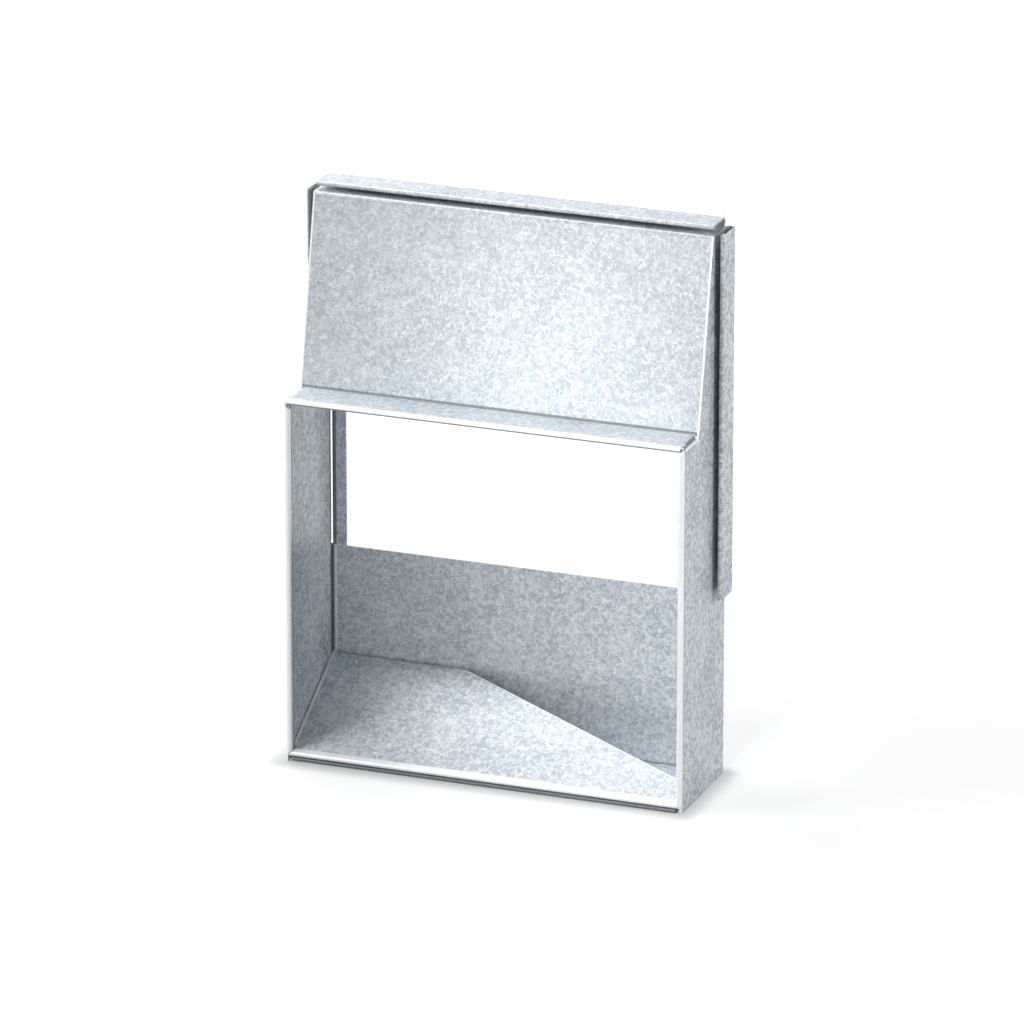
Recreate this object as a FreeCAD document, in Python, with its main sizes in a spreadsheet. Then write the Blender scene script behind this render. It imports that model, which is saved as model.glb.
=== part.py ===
import FreeCAD, Part
import Sketcher
import math
import os

# Rectangular duct offset folded from thin galvanised sheet, in millimetres.
# X runs across the duct, Y from the open mouth (front) to the collar (rear), Z up.
# The origin is the middle of the footprint, on the surface that the part stands on.

# Every size that can be set by itself is written once, here.
SIZES = [
    ("sheet", 1.0, "thickness of the sheet"),
    ("duct_width", 220.0, "across the outer faces of the two cheeks"),
    ("duct_depth", 65.0, "from the plane of the mouth to the rear edges"),
    ("mouth_height", 200.0, "from the ground to the top of the hood's strip"),
    ("rise", 100.0, "how far the rear collar sits above the mouth"),
    ("strip_depth", 23.7, "flat top strip behind the mouth"),
    ("collar_depth", 21.0, "flat part of the rear collar"),
    ("bend", 1.0, "inside radius of a plain bend"),
    ("bead", 3.0, "thickness of a rolled hem round the mouth"),
    ("bead_return", 3.5, "straight part of a rolled hem's return"),
    ("pocket_gap", 2.5, "width of the slot at the mouth of a collar pocket"),
    ("leaf_edge", 2.5, "thickness of the flattened hem on a pocket leaf"),
    ("leaf_length", 19.0, "a pocket leaf, from the rear edge forward"),
    ("leaf_trim", 2.5, "pocket leaves of the cheeks start this far up the collar"),
    ("cheek_set_down", 2.0, "the cheeks end this far below the hood's strip"),
    ("cheek_nose", 1.6, "slanted step of a cheek's edge beside the hood's fold"),
    ("lip_short", 0.9, "the lip's rolled hem stops short of the cheek"),
    ("tab_radius", 3.0, "outer radius of the hood's side tabs"),
    ("tab_drop", 5.0, "height of the hood's side tabs"),
    ("tab_inset", 1.5, "side tabs stop short of the hem and of the fold"),
    ("guide_rise", 41.5, "top of the guide plate at the rear panel"),
    ("guide_width", 71.0, "width over which the guide plate keeps its full depth"),
    ("guide_nib", 12.5, "depth of the guide plate at the right cheek"),
    ("guide_round", 45.0, "radius of the guide plate's free corner"),
    ("guide_flange", 6.0, "height of the guide plate's folded edges"),
    ("rear_recess", 2.2, "rear panel set in from the rear edges"),
    ("window_margin", 8.5, "rear panel left beside and above the outlet"),
    ("base_edge", 2.4, "thickness of the flattened hem of the base"),
    ("base_set_back", 0.6, "the base's front edge behind the mouth's plane"),
    ("base_flange", 12.0, "height of the base's rear fold"),
    ("seam", 0.1, "clearance between sheets that meet"),
    ("mitre_gap", 0.4, "slit where two rolled hems meet at a corner"),
]

# Places and lengths that follow from the sizes, each a formula on them.
PLACES = [
    ("ground", "0"),
    ("front", "-dims.duct_depth / 2"),
    ("back", "dims.duct_depth / 2"),
    ("outer", "dims.duct_width / 2"),
    ("inner", "places.outer - dims.sheet"),
    ("hood_half", "places.inner - dims.seam"),
    ("bend_out", "dims.bend + dims.sheet"),
    ("outlet_top", "dims.mouth_height + dims.rise"),
    ("over", "10 * dims.sheet"),
    ("front_out", "places.front - places.over"),
    ("back_out", "places.back + places.over"),
    ("outer_out", "places.outer + dims.pocket_gap + dims.leaf_edge + places.over"),
    # rolled hems
    ("bead_half", "dims.bead / 2"),
    ("bead_line", "places.front + places.bead_half"),
    ("bead_tail", "places.bead_line + dims.bead_return"),
    ("bead_length", "places.bead_half + dims.bead_return"),
    ("bead_mid_x", "places.outer - places.bead_half"),
    ("bead_in_x", "places.outer - dims.bead"),
    ("lip_low", "dims.mouth_height - dims.bead"),
    ("lip_mid", "dims.mouth_height - places.bead_half"),
    ("lip_half", "places.inner - dims.lip_short"),
    # folds of the hood
    ("fold_y", "places.front + dims.strip_depth"),
    ("crest_y", "places.back - dims.collar_depth"),
    # collar pockets
    ("turn_in", "(dims.pocket_gap + dims.leaf_edge - dims.sheet) / 2"),
    ("turn_y", "places.back - places.turn_in - dims.sheet"),
    ("leaf_turn_in", "dims.leaf_edge / 2 - dims.sheet"),
    ("leaf_tip_y", "places.back - dims.leaf_length"),
    ("leaf_turn_y", "places.leaf_tip_y + dims.leaf_edge / 2"),
    ("leaf_tail_y", "places.leaf_turn_y + dims.bead_return"),
    ("leaf_out_y", "places.leaf_tip_y - places.over"),
    ("top_turn_z", "places.outlet_top + places.turn_in"),
    ("top_leaf_z", "places.outlet_top + 2 * places.turn_in"),
    ("top_edge_z", "places.top_leaf_z - places.leaf_turn_in"),
    ("top_tail_z", "places.top_leaf_z - 2 * places.leaf_turn_in"),
    ("sky", "places.top_leaf_z + places.over"),
    ("side_turn_x", "places.outer + places.turn_in"),
    ("side_leaf_x", "places.outer + 2 * places.turn_in"),
    ("side_edge_x", "places.side_leaf_x - places.leaf_turn_in"),
    ("side_tail_x", "places.side_leaf_x - 2 * places.leaf_turn_in"),
    # side tabs of the hood
    ("tab_turn_x", "places.hood_half - dims.tab_radius"),
    ("tab_root_x", "places.tab_turn_x - dims.sheet"),
    ("tab_low", "dims.mouth_height - dims.tab_drop"),
    ("tab_front", "places.bead_tail + dims.tab_inset"),
    ("tab_back", "places.fold_y - dims.tab_inset"),
    ("tab_length", "places.tab_back - places.tab_front"),
    # upper edge of the cheeks
    ("cheek_top", "dims.mouth_height - dims.cheek_set_down"),
    ("nose_y", "places.fold_y - dims.cheek_nose"),
    # corners where rolled hems meet
    ("mitre_x", "places.bead_in_x - dims.sheet"),
    ("mitre_width", "places.inner - places.mitre_x"),
    ("lip_mitre", "places.lip_low - dims.mitre_gap"),
    ("lip_mitre_low", "places.lip_mitre - places.mitre_width"),
    ("sill_mitre", "places.guide_lift + dims.sheet"),
    ("sill_mitre_high", "places.sill_mitre + places.mitre_width"),
    ("foot_mitre", "places.sill_mitre + dims.mitre_gap"),
    ("foot_mitre_high", "places.foot_mitre + places.mitre_width"),
    # guide plate
    ("guide_lift", "dims.base_edge + dims.seam"),
    ("guide_bead_z", "places.guide_lift + places.bead_half"),
    ("rear_face", "places.back - dims.rear_recess"),
    ("guide_end", "places.rear_face - dims.seam"),
    ("guide_low", "dims.guide_rise - dims.guide_flange"),
    ("guide_run", "places.guide_end - places.bead_line"),
    ("guide_climb", "dims.guide_rise - places.guide_bead_z"),
    ("guide_reach", "sqrt(places.guide_run ^ 2 + places.guide_climb ^ 2)"),
    ("guide_dip", "asin(places.bead_half / places.guide_reach)"),
    ("guide_angle", "atan(places.guide_climb / places.guide_run) - places.guide_dip"),
    ("guide_side_in", "places.hood_half - places.bend_out"),
    ("guide_side_root", "places.guide_side_in - dims.sheet"),
    ("guide_side_run", "places.guide_end - places.tab_front"),
    ("guide_side_z", "dims.guide_rise - places.guide_side_run * tan(places.guide_angle)"),
    ("guide_side_low", "places.guide_side_z - dims.guide_flange"),
    ("guide_side_length", "places.guide_side_run / cos(places.guide_angle)"),
    ("guide_cut_x", "dims.guide_width - places.outer"),
    ("guide_nib_y", "places.front + dims.guide_nib"),
    ("corner_notch_depth", "places.over + places.bead_length + dims.seam"),
    # rear panel
    ("panel_low", "places.bend_out"),
    ("panel_high", "places.outlet_top - dims.sheet - dims.seam"),
    ("panel_length", "places.panel_high - places.panel_low"),
    ("window_half", "places.inner - dims.window_margin"),
    ("window_top", "places.panel_high - dims.window_margin"),
    # base
    ("base_half", "places.bead_in_x - dims.seam"),
    ("base_edge_half", "dims.base_edge / 2"),
    ("base_turn_y", "places.front + dims.base_set_back + places.base_edge_half"),
    ("base_tail_y", "places.base_turn_y + dims.bead_return"),
    ("base_rear", "places.rear_face + 2 * dims.sheet + dims.seam"),
    ("base_wing_front", "places.base_tail_y + dims.tab_inset"),
    ("base_wing_back", "places.base_rear - places.bend_out"),
]

document = FreeCAD.newDocument("duct_offset")
dims = document.addObject("Spreadsheet::Sheet", "dims")
places = document.addObject("Spreadsheet::Sheet", "places")


def fill_sheets():
    for row, (name, value, note) in enumerate(SIZES, start=1):
        dims.set("A%d" % row, str(value))
        dims.setAlias("A%d" % row, name)
        dims.set("B%d" % row, note)
    for row, (name, formula) in enumerate(PLACES, start=1):
        places.setAlias("A%d" % row, name)
        places.set("A%d" % row, "=" + formula)
    document.recompute()


def number(formula):
    """Value of one named cell, written as sheet.name."""
    sheet_name, cell = formula.split(".")
    return float({"dims": dims, "places": places}[sheet_name].get(cell))


# The three planes of a sketch: across (X, Y), side (Y, Z) and face (X, Z).
PLANES = {
    "across": FreeCAD.Rotation(),
    "side": FreeCAD.Rotation(FreeCAD.Vector(1, 1, 1), 120),
    "face": FreeCAD.Rotation(FreeCAD.Vector(1, 0, 0), 90),
}


def new_sketch(name, plane):
    sketch = document.addObject("Sketcher::SketchObject", name)
    sketch.Placement = FreeCAD.Placement(FreeCAD.Vector(), PLANES[plane])
    return sketch


def bind(sketch, constraint, formula):
    """Adds a dimension to a sketch and ties it to the sheets."""
    index = sketch.addConstraint(constraint)
    sketch.setExpression("Constraints[%d]" % index, formula)


def pin(sketch, element, point, place):
    """Holds a point of a sketch at a place given by two formulas."""
    kinds = ("DistanceX", "DistanceY")
    for kind, (sign, formula) in zip(kinds, place):
        value = sign * number(formula)
        text = formula if sign > 0 else "-" + formula
        bind(sketch, Sketcher.Constraint(kind, -1, 1, element, point, value), text)


def spot(across, up):
    """A place in a sketch: two cell names, each with a minus sign in front if mirrored."""
    place = []
    for text in (across, up):
        sign = -1 if text.startswith("-") else 1
        place.append((sign, text.lstrip("-")))
    return place


def at(place):
    return FreeCAD.Vector(*[sign * number(formula) for sign, formula in place], 0)


def left_of(direction):
    return FreeCAD.Vector(-direction.y, direction.x, 0)


def travel(start, start_radius, end, end_radius):
    """Direction of the line that leaves one circle and meets the next; a point has radius 0."""
    step = end - start
    lean = math.asin((end_radius - start_radius) / step.Length)
    angle = math.atan2(step.y, step.x) - lean
    return FreeCAD.Vector(math.cos(angle), math.sin(angle), 0)


def draw_path(sketch, stations, closed=False):
    """Draws a line through stations, such as the one that a sheet's outer face follows.

    A station is (kind, across, up, radius). An end or a point is plain. A corner is a point
    where two flats would meet, rounded by its radius. A turn is the centre of a fold
    right back, and its radius has a minus sign where the fold runs clockwise.
    """
    centres = []
    signed = []
    for kind, across, up, radius in stations:
        centres.append(at(spot(across, up)))
        sign = -1 if radius.startswith("-") else 1
        signed.append(sign * number(radius.lstrip("-")) if kind == "turn" else 0.0)
    last = len(stations) - 1
    ways = [travel(centres[i], signed[i], centres[i + 1], signed[i + 1]) for i in range(last)]
    starts = [centres[i] - left_of(ways[i]) * signed[i] for i in range(last)]
    ends = [centres[i + 1] - left_of(ways[i]) * signed[i + 1] for i in range(last)]
    for i in range(1, last):
        if stations[i][0] == "corner":
            turn = ways[i - 1].getAngle(ways[i])
            cut_back = number(stations[i][3]) * math.tan(turn / 2)
            ends[i - 1] = centres[i] - ways[i - 1] * cut_back
            starts[i] = centres[i] + ways[i] * cut_back
    lines = [sketch.addGeometry(Part.LineSegment(starts[i], ends[i]), False) for i in range(last)]
    pin(sketch, lines[0], 1, spot(*stations[0][1:3]))
    if closed:
        sketch.addConstraint(Sketcher.Constraint("Coincident", lines[-1], 2, lines[0], 1))
    else:
        pin(sketch, lines[-1], 2, spot(*stations[-1][1:3]))
    for i in range(1, last):
        join_lines(sketch, lines[i - 1], lines[i], stations[i], ways[i - 1], ways[i])


def join_lines(sketch, before, after, station, way_in, way_out):
    """Joins two lines of a path at a plain point, or with an arc tangent to both."""
    kind, across, up, radius = station
    place = spot(across, up)
    if kind == "point":
        sketch.addConstraint(Sketcher.Constraint("Coincident", before, 2, after, 1))
        pin(sketch, after, 1, place)
        return
    size = number(radius.lstrip("-"))
    arrive = sketch.getPoint(before, 2)
    leave = sketch.getPoint(after, 1)
    if kind == "turn":
        centre = at(place)
        clockwise = radius.startswith("-")
    else:
        clockwise = way_in.cross(way_out).z < 0
        centre = arrive + left_of(way_in) * (-size if clockwise else size)
    first, second = (leave, arrive) if clockwise else (arrive, leave)
    angles = [math.atan2(p.y - centre.y, p.x - centre.x) for p in (first, second)]
    circle = Part.Circle(centre, FreeCAD.Vector(0, 0, 1), size)
    arc = sketch.addGeometry(Part.ArcOfCircle(circle, angles[0], angles[1]), False)
    arc_in, arc_out = (2, 1) if clockwise else (1, 2)
    sketch.addConstraint(Sketcher.Constraint("Tangent", before, 2, arc, arc_in))
    sketch.addConstraint(Sketcher.Constraint("Tangent", after, 1, arc, arc_out))
    bind(sketch, Sketcher.Constraint("Radius", arc, size), radius.lstrip("-"))
    if kind == "turn":
        pin(sketch, arc, 3, place)
    else:
        point = sketch.addGeometry(Part.Point(at(place)), True)
        pin(sketch, point, 1, place)
        sketch.addConstraint(Sketcher.Constraint("PointOnObject", point, 1, before))
        sketch.addConstraint(Sketcher.Constraint("PointOnObject", point, 1, after))


def draw_outline(sketch, corners):
    """Draws a closed outline through named places; a third name rounds that corner."""
    stations = []
    for across, up, *radius in corners + corners[:1]:
        stations.append(("corner" if radius else "point", across, up, *(radius or [""])))
    draw_path(sketch, stations, closed=True)


def extrude(name, base, direction, length, both_ways=False):
    solid = document.addObject("Part::Extrusion", name)
    solid.Base = base
    solid.DirMode = "Custom"
    solid.Dir = direction
    solid.Solid = True
    solid.setExpression("LengthFwd", length)
    if both_ways:
        solid.setExpression("LengthRev", length)
    return solid


AXES = {
    "across": FreeCAD.Vector(0, 0, 1),
    "side": FreeCAD.Vector(1, 0, 0),
    "face": FreeCAD.Vector(0, 1, 0),
}


def folded_sheet(name, plane, stations, side, length, start=None, both_ways=False):
    """A strip of sheet bent along a path, its thickness on the left or right of the path."""
    sketch = new_sketch(name + "_path", plane)
    draw_path(sketch, stations)
    if start:
        axis_name, formula = start
        sketch.setExpression("Placement.Base." + axis_name, formula)
    document.recompute()
    section = document.addObject("Part::Offset2D", name + "_section")
    section.Source = sketch
    section.Mode = "Skin"
    section.Fill = True
    inward = (side == "left") != (plane == "face")
    section.setExpression("Value", ("-" if inward else "") + "dims.sheet")
    return extrude(name, section, AXES[plane], length, both_ways)


def prism(name, plane, corners, length, start=None, both_ways=False):
    """A straight block with the given outline, used to trim a sheet."""
    sketch = new_sketch(name + "_outline", plane)
    draw_outline(sketch, corners)
    if start:
        axis_name, formula = start
        sketch.setExpression("Placement.Base." + axis_name, formula)
    return extrude(name, sketch, AXES[plane], length, both_ways)


def mirrored(name, source):
    """The same piece on the other side of the duct's middle plane."""
    twin = document.addObject("Part::Mirroring", name)
    twin.Source = source
    twin.Normal = FreeCAD.Vector(1, 0, 0)
    return twin


def fused(name, parts):
    whole = document.addObject("Part::MultiFuse", name)
    whole.Shapes = parts
    whole.Refine = True
    return whole


def cut(name, base, tools):
    result = base
    for index, tool in enumerate(tools):
        last = index == len(tools) - 1
        step = document.addObject("Part::Cut", name if last else "%s_trim_%d" % (name, index))
        step.Base = result
        step.Tool = tool
        step.Refine = True
        result = step
    return result


def hood_panel():
    """Lip, strip, slope, collar top and pocket leaf: one folded sheet between the cheeks."""
    hood = folded_sheet("hood_sheet", "side", [
        ("end", "places.bead_tail", "places.lip_low", ""),
        ("turn", "places.bead_line", "places.lip_mid", "-places.bead_half"),
        ("corner", "places.fold_y", "dims.mouth_height", "dims.bend"),
        ("corner", "places.crest_y", "places.outlet_top", "places.bend_out"),
        ("turn", "places.turn_y", "places.top_turn_z", "places.turn_in"),
        ("turn", "places.leaf_turn_y", "places.top_edge_z", "places.leaf_turn_in"),
        ("end", "places.leaf_tail_y", "places.top_tail_z", ""),
    ], "right", "places.hood_half", both_ways=True)
    lip_notch = prism("lip_notch", "across", [
        ("places.lip_half", "places.front_out"),
        ("places.outer_out", "places.front_out"),
        ("places.outer_out", "places.bead_tail"),
        ("places.lip_half", "places.bead_tail"),
    ], "places.over", ("z", "places.lip_low - dims.sheet"))
    tab_notch = prism("tab_notch", "across", [
        ("places.tab_turn_x", "places.tab_front"),
        ("places.outer_out", "places.tab_front"),
        ("places.outer_out", "places.tab_back"),
        ("places.tab_turn_x", "places.tab_back"),
    ], "places.over", ("z", "places.lip_low - dims.sheet"))
    tab = folded_sheet("tab", "face", [
        ("end", "places.tab_root_x", "dims.mouth_height", ""),
        ("corner", "places.hood_half", "dims.mouth_height", "dims.tab_radius"),
        ("end", "places.hood_half", "places.tab_low", ""),
    ], "right", "places.tab_length", ("y", "places.tab_front"))
    notches = [lip_notch, tab_notch]
    twins = [mirrored(notch.Name + "_left", notch) for notch in notches]
    trimmed = cut("hood_trimmed", hood, notches + twins)
    return fused("hood_panel", [trimmed, tab, mirrored("tab_left", tab)])


def right_cheek():
    """One side of the duct: a plate with a rolled front hem and a collar pocket behind."""
    front_hem = [
        ("end", "places.bead_in_x", "places.bead_tail", ""),
        ("turn", "places.bead_mid_x", "places.bead_line", "places.bead_half"),
    ]
    lower = folded_sheet("cheek_lower", "across", front_hem + [
        ("end", "places.outer", "places.back", ""),
    ], "left", "dims.rise")
    upper = folded_sheet("cheek_upper", "across", front_hem + [
        ("turn", "places.side_turn_x", "places.turn_y", "-places.turn_in"),
        ("turn", "places.side_edge_x", "places.leaf_turn_y", "-places.leaf_turn_in"),
        ("end", "places.side_tail_x", "places.leaf_tail_y", ""),
    ], "left", "dims.mouth_height", ("z", "dims.rise"))
    profile = prism("cheek_profile", "side", [
        ("places.front_out", "places.cheek_top"),
        ("places.nose_y", "places.cheek_top"),
        ("places.fold_y", "dims.mouth_height"),
        ("places.crest_y", "places.outlet_top"),
        ("places.crest_y", "places.sky"),
        ("places.front_out", "places.sky"),
    ], "places.outer_out")
    relief = prism("pocket_relief", "across", [
        ("places.outer", "places.leaf_out_y"),
        ("places.outer_out", "places.leaf_out_y"),
        ("places.outer_out", "places.back_out"),
        ("places.bead_in_x", "places.back_out"),
        ("places.bead_in_x", "places.turn_y"),
        ("places.outer", "places.turn_y"),
    ], "dims.leaf_trim", ("z", "dims.rise"))
    lip_mitre = prism("cheek_lip_mitre", "face", [
        ("places.mitre_x", "places.lip_mitre_low"),
        ("places.inner", "places.lip_mitre"),
        ("places.inner", "places.sky"),
        ("places.mitre_x", "places.sky"),
    ], "places.over", ("y", "places.front"), both_ways=True)
    foot_mitre = prism("cheek_foot_mitre", "face", [
        ("places.mitre_x", "-places.over"),
        ("places.inner", "-places.over"),
        ("places.inner", "places.foot_mitre"),
        ("places.mitre_x", "places.foot_mitre_high"),
    ], "places.over", ("y", "places.front"), both_ways=True)
    plate = fused("cheek_plate", [lower, upper])
    return cut("right_cheek", plate, [profile, relief, lip_mitre, foot_mitre])


def guide_plate():
    """Sloping floor behind the mouth, with one rear corner cut away on a slant."""
    floor = folded_sheet("guide_sheet", "side", [
        ("end", "places.bead_tail", "places.guide_lift", ""),
        ("turn", "places.bead_line", "places.guide_bead_z", "-places.bead_half"),
        ("corner", "places.guide_end", "dims.guide_rise", "places.bend_out"),
        ("end", "places.guide_end", "places.guide_low", ""),
    ], "right", "places.hood_half", both_ways=True)
    slant = prism("guide_slant", "across", [
        ("-places.outer", "places.guide_end"),
        ("places.guide_cut_x", "places.guide_end", "dims.guide_round"),
        ("places.inner", "places.guide_nib_y"),
        ("places.outer_out", "places.guide_nib_y"),
        ("places.outer_out", "places.back_out"),
        ("-places.outer", "places.back_out"),
    ], "places.sky")
    side_notch = prism("guide_side_notch", "across", [
        ("-places.outer", "places.tab_front"),
        ("-places.guide_side_in", "places.tab_front"),
        ("-places.guide_side_in", "places.back_out"),
        ("-places.outer", "places.back_out"),
    ], "places.sky")
    corner_notch = prism("guide_corner_notch", "face", [
        ("places.mitre_x", "places.sill_mitre_high"),
        ("places.inner", "places.sill_mitre"),
        ("places.outer", "places.sill_mitre"),
        ("places.outer", "places.sky"),
        ("places.mitre_x", "places.sky"),
    ], "places.corner_notch_depth", ("y", "places.front_out"))
    notches = [slant, side_notch, corner_notch, mirrored("guide_corner_notch_left", corner_notch)]
    trimmed = cut("guide_trimmed", floor, notches)
    flange = folded_sheet("guide_flange", "face", [
        ("end", "-places.guide_side_root", "places.guide_side_z", ""),
        ("corner", "-places.hood_half", "places.guide_side_z", "places.bend_out"),
        ("end", "-places.hood_half", "places.guide_side_low", ""),
    ], "left", "places.guide_side_length", ("y", "places.tab_front"))
    flange.setExpression("Dir.y", "cos(places.guide_angle)")
    flange.setExpression("Dir.z", "sin(places.guide_angle)")
    return fused("guide_plate", [trimmed, flange])


def rear_panel():
    """Rear wall with the outlet window, its side edges returned to the rear."""
    wall = folded_sheet("rear_wall", "across", [
        ("end", "-places.hood_half", "places.back", ""),
        ("corner", "-places.hood_half", "places.rear_face", "places.bend_out"),
        ("corner", "places.hood_half", "places.rear_face", "places.bend_out"),
        ("end", "places.hood_half", "places.back", ""),
    ], "left", "places.panel_length", ("z", "places.panel_low"))
    window = prism("outlet_window", "face", [
        ("-places.window_half", "dims.rise"),
        ("places.window_half", "dims.rise"),
        ("places.window_half", "places.window_top"),
        ("-places.window_half", "places.window_top"),
    ], "places.over", ("y", "places.rear_face"), both_ways=True)
    return cut("rear_panel", wall, [window])


def base_panel():
    """Bottom sheet with a flattened front hem and a fold up behind the rear panel."""
    tray = folded_sheet("base_tray", "side", [
        ("end", "places.base_rear", "dims.base_flange", ""),
        ("corner", "places.base_rear", "places.ground", "places.bend_out"),
        ("turn", "places.base_turn_y", "places.base_edge_half", "-places.base_edge_half"),
        ("end", "places.base_tail_y", "dims.base_edge", ""),
    ], "right", "places.base_half", both_ways=True)
    wings = prism("base_wings", "across", [
        ("-places.hood_half", "places.base_wing_front"),
        ("places.hood_half", "places.base_wing_front"),
        ("places.hood_half", "places.base_wing_back"),
        ("-places.hood_half", "places.base_wing_back"),
    ], "dims.sheet")
    return fused("base_panel", [tray, wings])


def check_document():
    """Stops if any step of the model failed."""
    document.recompute()
    for item in document.Objects:
        if "Invalid" in item.State or "Error" in item.State:
            raise RuntimeError("failed step: %s %s" % (item.Name, item.State))


def main():
    fill_sheets()
    cheek = right_cheek()
    pieces = {
        "right_cheek": cheek,
        "left_cheek": mirrored("left_cheek", cheek),
        "hood_panel": hood_panel(),
        "guide_plate": guide_plate(),
        "rear_panel": rear_panel(),
        "base_panel": base_panel(),
    }
    check_document()
    os.makedirs("parts", exist_ok=True)
    for name, piece in pieces.items():
        piece.Label = name
        shape = piece.Shape
        if shape.isNull() or not shape.isValid() or len(shape.Solids) != 1:
            raise RuntimeError("bad shape: %s" % name)
        shape.exportStep("parts/%s.step" % name)
        print("%s volume %.1f mm3" % (name, shape.Volume))


main()
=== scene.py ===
import bpy
import math
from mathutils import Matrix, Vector

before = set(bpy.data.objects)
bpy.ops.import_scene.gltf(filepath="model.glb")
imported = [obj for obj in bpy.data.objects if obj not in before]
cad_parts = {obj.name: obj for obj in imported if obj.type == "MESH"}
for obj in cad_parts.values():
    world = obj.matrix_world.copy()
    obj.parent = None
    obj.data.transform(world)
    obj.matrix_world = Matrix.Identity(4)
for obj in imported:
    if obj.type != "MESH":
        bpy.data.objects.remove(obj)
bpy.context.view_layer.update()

# View of the duct, in degrees, metres and, for the camera's own sizes, millimetres.
VIEW_TURN = 20.91
VIEW_TILT = 19.34
VIEW_DISTANCE = 4.507
VIEW_TARGET = (0.0, -0.0025, 0.150)
SENSOR_WIDTH = 36.0
FOCAL_LENGTH = 306.0
NEAREST_SEEN = 0.1
FARTHEST_SEEN = 100.0
# How far the middle of the picture lies from the target, to the right and up.
VIEW_RIGHT = 0.00497
VIEW_UP = -0.00735

# Floor, in metres. Its glow is what the camera and reflections see beside its plain colour.
FLOOR_SIZE = 12.0
FLOOR_DROP = 0.0002
FLOOR_COLOUR = (0.45, 0.45, 0.45, 1.0)
GLOW_STARTS = 0.12
GLOW_ENDS = 0.9
GLOW_NEAR = 0.64
GLOW_FAR = 0.98
# Half the width and half the depth of the object where it stands.
FOOTPRINT = (0.110, 0.0325, 0.0)
# Within this distance of the footprint the glow is weaker: a painted contact shadow that darkens the
# floor around the object and lets its real contact shadow show.
PAINTED_CONTACT_SHADOW_WIDTH = 0.014
PAINTED_CONTACT_SHADOW_SHARE = 0.45
NOWHERE = (0.0, 0.0, 0.0)

# Strength of the white world's light on the object. The camera and reflections see it at 1.
WORLD_COLOUR = (1.0, 1.0, 1.0, 1.0)
WORLD_LIGHT = 0.12

# Lamps: name, place, point they face, size in metres, power in watts and spread in degrees.
LAMPS = [
    ("key", (-1.9, -1.1, 1.5), (0.0, 0.0, 0.12), 1.0, 37.0, 180.0),
    ("top", (-0.307, 0.15, 0.945), (0.03, -0.01, 0.02), 0.4, 3.9, 180.0),
    ("side", (1.6, 0.15, 0.75), (0.11, 0.0, 0.15), 0.6, 11.0, 180.0),
    ("slope", (-0.078, -0.33, 0.264), (0.05, 0.0, 0.25), 0.12, 0.037, 56.0),
    ("fill", (0.09, -0.42, 0.52), (0.075, 0.0, 0.03), 0.15, 0.042, 24.0),
]

# Colours of the galvanised sheet.
ZINC_DARK = (0.362, 0.425, 0.478, 1.0)
ZINC_MID = (0.77, 0.81, 0.845, 1.0)
ZINC_STROKE = (0.89, 0.915, 0.94, 1.0)
# Painted highlight colour for hems, cut edges and folds.
ZINC_PAINTED_HIGHLIGHT = (0.90, 0.915, 0.93, 1.0)
# Painted shade colour for creases, slots and under hems.
ZINC_PAINTED_SHADE = (0.13, 0.145, 0.16, 1.0)

# The sheet's pattern. Scales are in features per metre; a share says how much a layer counts.
FLAKE_SCALE = 330.0
FLAKE_SHARE = 0.30
MOTTLE_SCALE = 420.0
MOTTLE_DETAIL = 3.0
MOTTLE_ROUGHNESS = 0.7
MOTTLE_SHARE = 0.85
CLOUD_SCALE = 40.0
CLOUD_DETAIL = 2.0
CLOUD_SHARE = 0.6
GRAIN_SCALE = 1500.0
GRAIN_DETAIL = 1.0
GRAIN_SHARE = 0.9
WORM_SHIFT = (1.9, 6.1, 3.3)
WORM_SCALE = 330.0
WORM_DETAIL = 1.0
WORM_ROUGHNESS = 0.5
WORM_DISTORTION = 0.6
WORM_STARTS = 0.47
WORM_FULL = 0.57
WORM_SHARE = 0.34
# Middle of the layers' sum, and the tone that it gets between dark and mid zinc.
SUM_MIDDLE = 1.48
TONE_MIDDLE = 0.52

# Layers of thin curved strokes: scale, width within the noise and shift of the pattern.
STROKE_LAYERS = [
    (230.0, 0.036, (0.0, 0.0, 0.0)),
    (310.0, 0.044, (5.3, 4.1, 6.7)),
    (390.0, 0.048, (2.9, 8.3, 1.9)),
    (270.0, 0.038, (7.7, 3.9, 4.3)),
]
STROKE_LEVEL = 0.5
STROKE_DETAIL = 0.0
STROKE_SHARE = 0.82
BREAK_SHIFT = (3.1, 1.7, 2.3)
BREAK_SCALE = 1.1
BREAK_STARTS = 0.49
BREAK_FULL = 0.57

# Shares of the painted highlights and painted shade in the colour, and the sheet's gloss and relief.
PAINTED_HIGHLIGHT_SHARE = 0.9
PAINTED_SHADE_SHARE = 0.8
SHEET_METALLIC = 0.22
HIGHLIGHT_METALLIC = 0.6
SHEET_ROUGHNESS = 0.40
FLAKE_ROUGHNESS = 0.10
STROKE_SMOOTHNESS = 0.06
FLAKE_HEIGHT = 0.3
BUMP_STRENGTH = 0.2
BUMP_DISTANCE = 0.00003

# The pattern lies this much farther along on each next piece.
PATTERN_STEP = (1.37, 2.11, 0.73)
# The zinc's pattern is fainter on the hood and stronger on the worn cheeks.
CONTRAST = {"left_cheek": 1.3, "right_cheek": 1.75, "hood_panel": 0.75}
PLAIN_CONTRAST = 1.0

# Directions in which the marks are measured, from the origin.
RIGHT = (1.0, 0.0, 0.0)
LEFT = (-1.0, 0.0, 0.0)
BACK = (0.0, 1.0, 0.0)
UP = (0.0, 0.0, 1.0)
ACROSS_SLANT = (0.321, 0.947, 0.0)
OFF_SLOPE = (0.0, -0.980, 0.199)

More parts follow.
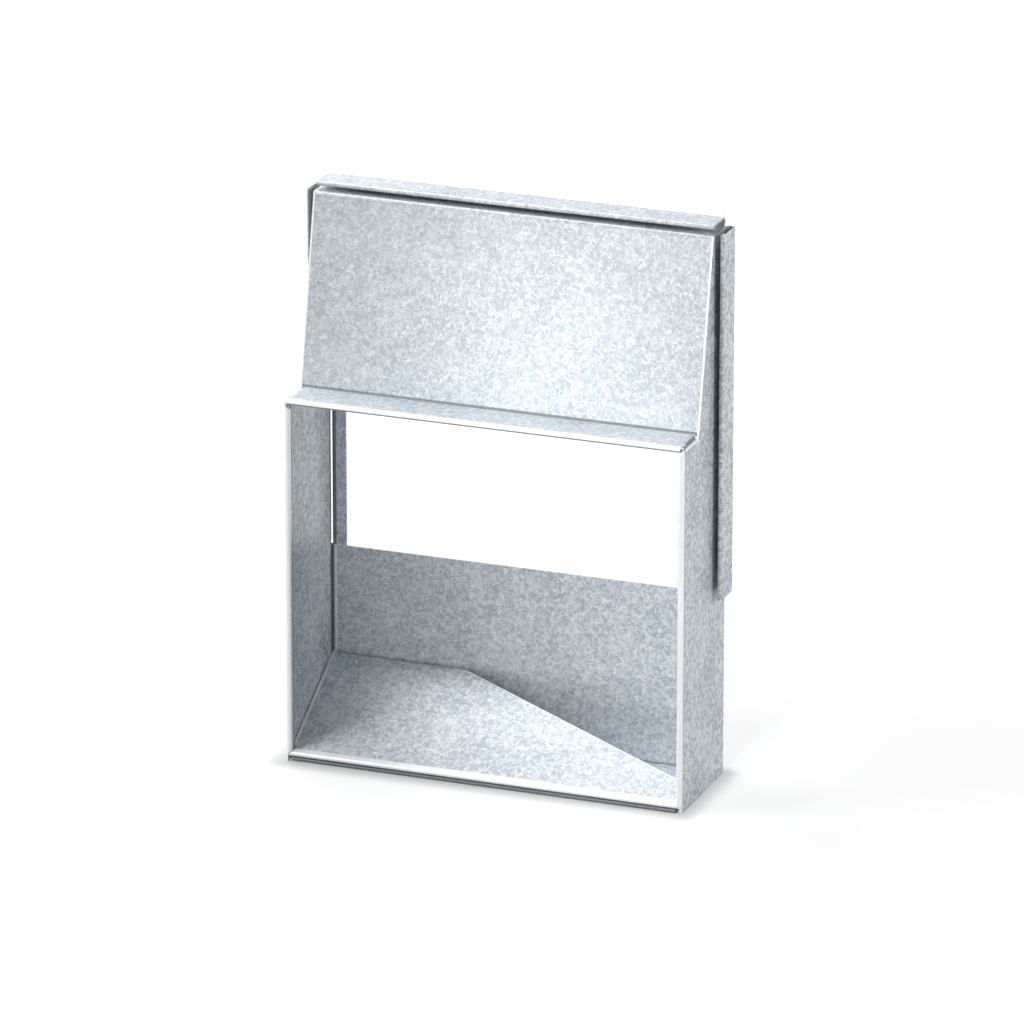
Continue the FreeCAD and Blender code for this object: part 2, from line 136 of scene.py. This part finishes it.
# Ranges of the marks along those directions, in metres.
AT_HEMS = (BACK, -0.0400, -0.0296)
BEFORE_CREST = (BACK, -0.0400, 0.0115)
BESIDE_STRIP = (BACK, -0.0296, -0.0104)
BESIDE_SLOPE = (BACK, -0.0104, 0.0115)
STRIP_EDGE = (UP, 0.1968, 0.2010)
SLOPE_EDGE = (OFF_SLOPE, 0.0480, 0.0600)
RIGHT_LEAF_EDGE = (RIGHT, 0.1141, 0.1160)
SLANTED_CUT = (ACROSS_SLANT, 0.0158, 0.0500)
GUIDE_LEFT_FOLD = (LEFT, 0.1063, 0.1200)
REAR_LEFT_FOLD = (LEFT, 0.1061, 0.1200)
BELOW_OUTLET = (UP, 0.0, 0.1000)
ABOVE_SILL_OF_OUTLET = (UP, 0.1000, 0.4000)
BEHIND_LEFT_HEM = (BACK, -0.0296, -0.0285)
BEHIND_RIGHT_HEM = (BACK, -0.0296, -0.0288)
CHEEK_REAR = (BACK, 0.0284, 0.0400)
LEFT_CHEEK_INSIDE = (LEFT, 0.1000, 0.1096)
IN_LEFT_SLOT = (LEFT, 0.1103, 0.1140)
BEFORE_SLOT_END = (BACK, -0.0400, 0.0312)
HOOD_FOLD = (BACK, -0.0098, -0.0086)
HOOD_FOLD_TOP = (UP, 0.1992, 0.2100)
UNDER_LIP = (UP, 0.1900, 0.1981)
RIGHT_TAB = (RIGHT, 0.1077, 0.1100)
ALONG_TAB = (BACK, -0.0260, -0.0103)
TAB_HEIGHT = (UP, 0.1940, 0.2010)
UNDER_SILL = (UP, 0.0, 0.0032)
REAR_FRONT_FACE = (BACK, 0.0300, 0.0309)
BASE_FRONT = (BACK, -0.0400, -0.0290)

# Painted highlights: pale colour on hems, cut edges and folds, where light catches them.
PAINTED_HIGHLIGHTS = {
    "left_cheek": [[AT_HEMS], [BESIDE_SLOPE, SLOPE_EDGE]],
    "right_cheek": [[AT_HEMS], [RIGHT_LEAF_EDGE, BEFORE_CREST], [BESIDE_STRIP, STRIP_EDGE],
                    [BESIDE_SLOPE, SLOPE_EDGE]],
    "hood_panel": [[AT_HEMS]],
    "guide_plate": [[AT_HEMS], [SLANTED_CUT], [GUIDE_LEFT_FOLD]],
    "rear_panel": [[REAR_LEFT_FOLD, BELOW_OUTLET]],
}
# Painted shade: dark lines in creases, slots and under hems, where shade falls.
PAINTED_SHADE_LINES = {
    "left_cheek": [[BEHIND_LEFT_HEM], [CHEEK_REAR, LEFT_CHEEK_INSIDE],
                   [IN_LEFT_SLOT, BEFORE_SLOT_END, ABOVE_SILL_OF_OUTLET]],
    "right_cheek": [[BEHIND_RIGHT_HEM]],
    "hood_panel": [[HOOD_FOLD, HOOD_FOLD_TOP], [AT_HEMS, UNDER_LIP],
                   [RIGHT_TAB, ALONG_TAB, TAB_HEIGHT]],
    "guide_plate": [[AT_HEMS, UNDER_SILL]],
    "rear_panel": [[REAR_LEFT_FOLD, ABOVE_SILL_OF_OUTLET, REAR_FRONT_FACE]],
    "base_panel": [[BASE_FRONT]],
}

# Sockets of the colour mix node.
MIX_SHARE = 0
MIX_FIRST = 6
MIX_SECOND = 7
MIX_RESULT = 2


def view_axes():
    """Forward, right and up directions of the camera."""
    turn = math.radians(VIEW_TURN)
    tilt = math.radians(VIEW_TILT)
    flat = math.cos(tilt)
    forward = Vector((-math.sin(turn) * flat, math.cos(turn) * flat, -math.sin(tilt)))
    right = Vector((math.cos(turn), math.sin(turn), 0.0))
    return forward, right, right.cross(forward)


def add_camera():
    forward, right, up = view_axes()
    data = bpy.data.cameras.new("camera")
    data.sensor_width = SENSOR_WIDTH
    data.lens = FOCAL_LENGTH
    data.clip_start = NEAREST_SEEN
    data.clip_end = FARTHEST_SEEN
    camera = bpy.data.objects.new("camera", data)
    bpy.context.scene.collection.objects.link(camera)
    target = Vector(VIEW_TARGET) + right * VIEW_RIGHT + up * VIEW_UP
    camera.location = target - forward * VIEW_DISTANCE
    camera.rotation_euler = forward.to_track_quat("-Z", "Y").to_euler()
    bpy.context.scene.camera = camera


class Nodes:
    """Short way to add shader nodes to a tree and link them."""

    def __init__(self, tree):
        self.tree = tree

    def new(self, kind, inputs=(), **settings):
        node = self.tree.nodes.new(kind)
        for key, value in settings.items():
            setattr(node, key, value)
        for socket, value in dict(inputs).items():
            self.set(node, socket, value)
        return node

    def set(self, node, socket, value):
        if isinstance(value, bpy.types.NodeSocket):
            self.tree.links.new(value, node.inputs[socket])
        else:
            node.inputs[socket].default_value = value

    def math(self, operation, first, second=0.0, clamp=False):
        inputs = {0: first, 1: second}
        return self.new("ShaderNodeMath", inputs, operation=operation, use_clamp=clamp).outputs[0]

    def vector(self, operation, first, second=NOWHERE):
        """A vector node. Its outputs are named Vector and Value."""
        inputs = {0: first, 1: second}
        return self.new("ShaderNodeVectorMath", inputs, operation=operation).outputs

    def noise(self, where, scale, detail, roughness=0.5, distortion=0.0):
        inputs = {"Vector": where, "Scale": scale, "Detail": detail,
                  "Roughness": roughness, "Distortion": distortion}
        return self.new("ShaderNodeTexNoise", inputs).outputs["Fac"]

    def ramp(self, value, low, high, to_low=0.0, to_high=1.0):
        inputs = {"Value": value, "From Min": low, "From Max": high,
                  "To Min": to_low, "To Max": to_high}
        return self.new("ShaderNodeMapRange", inputs, interpolation_type="SMOOTHSTEP").outputs[0]

    def weighted(self, share, value):
        return self.math("MULTIPLY", value, share)

    def mix(self, share, first, second):
        node = self.new("ShaderNodeMix", {MIX_SHARE: share}, data_type="RGBA")
        self.set(node, MIX_FIRST, first)
        self.set(node, MIX_SECOND, second)
        return node.outputs[MIX_RESULT]


def stroke_layer(nodes, where, scale, width, shift):
    """Thin short curved strokes of the zinc crystals."""
    place = nodes.vector("ADD", where, shift)["Vector"]
    lines = nodes.noise(place, scale, STROKE_DETAIL)
    ridge = nodes.math("ABSOLUTE", nodes.math("SUBTRACT", lines, STROKE_LEVEL))
    thin = nodes.ramp(ridge, 0.0, width, 1.0, 0.0)
    aside = nodes.vector("ADD", place, BREAK_SHIFT)["Vector"]
    breaks = nodes.noise(aside, scale * BREAK_SCALE, STROKE_DETAIL)
    return nodes.math("MULTIPLY", thin, nodes.ramp(breaks, BREAK_STARTS, BREAK_FULL))


def marked(nodes, origin, marks):
    """One inside any of the marks, each a set of ranges along directions."""
    mask = 0.0
    for ranges in marks:
        inside = 1.0
        for direction, low, high in ranges:
            along = nodes.vector("DOT_PRODUCT", origin, direction)["Value"]
            inside = nodes.math("MULTIPLY", nodes.math("GREATER_THAN", along, low), inside)
            inside = nodes.math("MULTIPLY", nodes.math("LESS_THAN", along, high), inside)
        mask = nodes.math("MAXIMUM", inside, mask)
    return mask


def zinc_tone(nodes, place, flake, contrast):
    """Tone between dark and mid zinc, from flakes, mottling, clouds, grain and worm-shaped patches."""
    mottle = nodes.noise(place, MOTTLE_SCALE, MOTTLE_DETAIL, MOTTLE_ROUGHNESS)
    clouds = nodes.noise(place, CLOUD_SCALE, CLOUD_DETAIL)
    grain = nodes.noise(place, GRAIN_SCALE, GRAIN_DETAIL)
    aside = nodes.vector("ADD", place, WORM_SHIFT)["Vector"]
    worms = nodes.noise(aside, WORM_SCALE, WORM_DETAIL, WORM_ROUGHNESS, WORM_DISTORTION)
    patches = nodes.ramp(worms, WORM_STARTS, WORM_FULL)
    layers = [(MOTTLE_SHARE, mottle), (CLOUD_SHARE, clouds), (GRAIN_SHARE, grain), (WORM_SHARE, patches)]
    tone = nodes.weighted(FLAKE_SHARE, flake)
    for share, layer in layers:
        tone = nodes.math("ADD", tone, nodes.weighted(share, layer))
    tone = nodes.math("MULTIPLY", nodes.math("SUBTRACT", tone, SUM_MIDDLE), contrast)
    return nodes.math("ADD", tone, TONE_MIDDLE, clamp=True)


def galvanised(name, shift, highlight_marks, shade_marks, contrast):
    """Material of one sheet: spangled zinc with painted highlights on its rims and painted shade in its
    creases.
    """
    material = bpy.data.materials.new(name)
    material.use_nodes = True
    tree = material.node_tree
    nodes = Nodes(tree)
    shader = tree.nodes["Principled BSDF"]
    shader.inputs["Metallic"].default_value = SHEET_METALLIC
    origin = nodes.new("ShaderNodeTexCoord").outputs["Object"]
    place = nodes.vector("ADD", origin, shift)["Vector"]
    flakes = nodes.new("ShaderNodeTexVoronoi", {"Vector": place, "Scale": FLAKE_SCALE})
    flake = nodes.new("ShaderNodeSeparateColor", {0: flakes.outputs["Color"]}).outputs[0]
    strokes = 0.0
    for scale, width, offset in STROKE_LAYERS:
        strokes = nodes.math("MAXIMUM", stroke_layer(nodes, place, scale, width, offset), strokes)
    colour = nodes.mix(zinc_tone(nodes, place, flake, contrast), ZINC_DARK, ZINC_MID)
    colour = nodes.mix(nodes.weighted(STROKE_SHARE, strokes), colour, ZINC_STROKE)
    # Painted highlight: pale colour and more metal along hems, cut edges and folds.
    if highlight_marks:
        highlight = marked(nodes, origin, highlight_marks)
        colour = nodes.mix(nodes.weighted(PAINTED_HIGHLIGHT_SHARE, highlight), colour, ZINC_PAINTED_HIGHLIGHT)
        nodes.set(shader, "Metallic", nodes.ramp(highlight, 0.0, 1.0, SHEET_METALLIC, HIGHLIGHT_METALLIC))
    # Painted shade: dark lines in creases, slots and under hems.
    if shade_marks:
        shade = marked(nodes, origin, shade_marks)
        colour = nodes.mix(nodes.weighted(PAINTED_SHADE_SHARE, shade), colour, ZINC_PAINTED_SHADE)
    nodes.set(shader, "Base Color", colour)
    rough = nodes.math("ADD", SHEET_ROUGHNESS, nodes.weighted(FLAKE_ROUGHNESS, flake))
    rough = nodes.math("SUBTRACT", rough, nodes.weighted(STROKE_SMOOTHNESS, strokes))
    nodes.set(shader, "Roughness", rough)
    height = nodes.math("ADD", nodes.weighted(FLAKE_HEIGHT, flake), strokes)
    inputs = {"Height": height, "Strength": BUMP_STRENGTH, "Distance": BUMP_DISTANCE}
    nodes.set(shader, "Normal", nodes.new("ShaderNodeBump", inputs).outputs[0])
    return material


def dress_nodes():
    for index, (name, piece) in enumerate(sorted(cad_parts.items())):
        shift = tuple(index * step for step in PATTERN_STEP)
        contrast = CONTRAST.get(name, PLAIN_CONTRAST)
        material = galvanised("galvanised_" + name, shift, PAINTED_HIGHLIGHTS.get(name), PAINTED_SHADE_LINES.get(name), contrast)
        piece.data.materials.clear()
        piece.data.materials.append(material)


def seen_rays(nodes):
    """One where the ray comes from the camera or a reflection."""
    path = nodes.new("ShaderNodeLightPath").outputs
    seen = nodes.math("MAXIMUM", path["Is Camera Ray"], path["Is Glossy Ray"])
    return nodes.math("MAXIMUM", seen, path["Is Transmission Ray"])


def floor_glow(nodes):
    """Glow that makes the floor white to the camera and reflections, weaker close to the object, with a
    painted contact shadow around its footprint.
    """
    where = nodes.new("ShaderNodeTexCoord").outputs["Object"]
    away = nodes.vector("LENGTH", where)["Value"]
    past = nodes.vector("SUBTRACT", nodes.vector("ABSOLUTE", where)["Vector"], FOOTPRINT)["Vector"]
    beside = nodes.vector("LENGTH", nodes.vector("MAXIMUM", past, NOWHERE)["Vector"])["Value"]
    level = nodes.ramp(away, GLOW_STARTS, GLOW_ENDS, GLOW_NEAR, GLOW_FAR)
    level = nodes.math("MULTIPLY", seen_rays(nodes), level)
    # Painted contact shadow: the glow fades within a band around the footprint.
    return nodes.math("MULTIPLY", level, nodes.ramp(beside, 0.0, PAINTED_CONTACT_SHADOW_WIDTH, PAINTED_CONTACT_SHADOW_SHARE, 1.0))


def add_floor():
    mesh = bpy.data.meshes.new("floor")
    half = FLOOR_SIZE / 2
    corners = [(-half, -half), (half, -half), (half, half), (-half, half)]
    mesh.from_pydata([(x, y, -FLOOR_DROP) for x, y in corners], [], [(0, 1, 2, 3)])
    floor = bpy.data.objects.new("floor", mesh)
    bpy.context.scene.collection.objects.link(floor)
    material = bpy.data.materials.new("floor")
    material.use_nodes = True
    tree = material.node_tree
    tree.nodes.clear()
    nodes = Nodes(tree)
    matt = nodes.new("ShaderNodeBsdfDiffuse", {"Color": FLOOR_COLOUR})
    glow = nodes.new("ShaderNodeEmission", {"Strength": floor_glow(nodes)})
    both = nodes.new("ShaderNodeAddShader", {0: matt.outputs[0], 1: glow.outputs[0]})
    nodes.new("ShaderNodeOutputMaterial", {"Surface": both.outputs[0]})
    mesh.materials.append(material)


def add_world():
    world = bpy.data.worlds.new("studio")
    bpy.context.scene.world = world
    world.use_nodes = True
    nodes = Nodes(world.node_tree)
    background = world.node_tree.nodes["Background"]
    background.inputs["Color"].default_value = WORLD_COLOUR
    seen = nodes.weighted(1.0 - WORLD_LIGHT, seen_rays(nodes))
    nodes.set(background, "Strength", nodes.math("ADD", seen, WORLD_LIGHT))


def add_lamp(name, place, aim, size, power, spread):
    data = bpy.data.lights.new(name, "AREA")
    data.shape = "SQUARE"
    data.size = size
    data.energy = power
    data.spread = math.radians(spread)
    lamp = bpy.data.objects.new(name, data)
    lamp.location = place
    direction = Vector(aim) - Vector(place)
    lamp.rotation_euler = direction.to_track_quat("-Z", "Y").to_euler()
    lamp.visible_camera = False
    bpy.context.scene.collection.objects.link(lamp)


def main():
    add_camera()
    dress_nodes()
    add_floor()
    add_world()
    for lamp in LAMPS:
        add_lamp(*lamp)
    bpy.context.scene.view_settings.view_transform = "Standard"


main()
